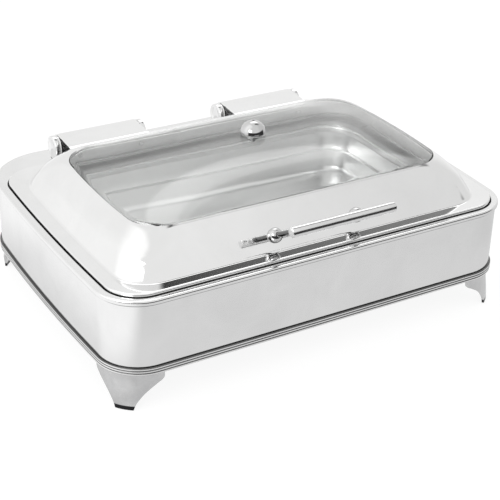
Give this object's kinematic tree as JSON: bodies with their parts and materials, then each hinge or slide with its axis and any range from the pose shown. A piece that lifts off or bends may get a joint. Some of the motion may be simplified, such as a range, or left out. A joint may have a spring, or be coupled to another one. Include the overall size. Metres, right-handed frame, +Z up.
{
  "type": "roll top chafer",
  "caption": "Electric food warmer with a rear-hinged stainless dome lid, crowned glass window, steam vent, front grip bar, full-size food pan over a water pan and cast corner feet.",
  "frame": {"origin": "on the floor, under the middle of the bounding box of the closed chafer", "axes": "+Z up, +Y towards the hinges at the back, +X to the right as seen from the front, along the long side"},
  "size_m": [0.621, 0.4954, 0.2647],
  "materials": {
    "body_steel": "polished stainless, bright mirror-like",
    "lid_steel": "polished stainless, bright mirror-like",
    "trim_steel": "polished",
    "foot_steel": "polished casting",
    "cover_steel": "dull mill finish",
    "heater_alu": "dull",
    "inlet_plastic": "matt black",
    "water_pan_steel": "satin",
    "food_pan_steel": "satin",
    "window_glass": "clear, toughened",
    "gasket_silicone": "black silicone",
    "chrome": "bright",
    "grip_steel": "satin",
    "screw_steel": "plain"
  },
  "bodies": {
    "body": {"base_body": "body_steel", "bead_trim": "trim_steel", "foot_fl": "foot_steel", "foot_fr": "foot_steel", "foot_rl": "foot_steel", "foot_rr": "foot_steel", "base_cover": "cover_steel", "cover_screw_1": "screw_steel", "cover_screw_2": "screw_steel", "cover_screw_3": "screw_steel", "cover_screw_4": "screw_steel", "heater_plate": "heater_alu", "power_inlet": "inlet_plastic", "water_pan": "water_pan_steel", "hinge_cap_l_in": "chrome", "hinge_cap_l_out": "chrome", "hinge_cap_r_in": "chrome", "hinge_cap_r_out": "chrome", "cap_screw_l_1": "screw_steel", "cap_screw_l_2": "screw_steel", "cap_screw_r_1": "screw_steel", "cap_screw_r_2": "screw_steel", "hinge_pin_l": "screw_steel", "hinge_pin_r": "screw_steel"},
    "lid": {"lid_shell": "lid_steel", "lid_glass": "window_glass", "glass_gasket": "gasket_silicone", "vent_cap": "chrome", "vent_washer": "gasket_silicone", "vent_nut": "chrome", "handle_bar": "grip_steel", "handle_post_l": "chrome", "handle_post_r": "chrome", "handle_rosette_l": "chrome", "handle_rosette_r": "chrome", "handle_nut_l": "chrome", "handle_nut_r": "chrome", "hinge_drum_l": "chrome", "hinge_drum_r": "chrome", "hinge_leaf_l": "lid_steel", "hinge_leaf_r": "lid_steel", "leaf_screw_l_1": "screw_steel", "leaf_screw_l_2": "screw_steel", "leaf_screw_r_1": "screw_steel", "leaf_screw_r_2": "screw_steel"},
    "food_pan": {"food_pan": "food_pan_steel"}
  },
  "joints": [
    {"name": "lid_hinge", "type": "hinge", "parent": "body", "child": "lid", "pos_m": [0, 0.21175, 0.1758], "axis": [-1, 0, 0], "range_deg": [0, 90]},
    {"name": "food_pan_lift", "type": "slide", "parent": "body", "child": "food_pan", "axis": [0, 0, 1], "range_m": [0, 0.015]}
  ]
}
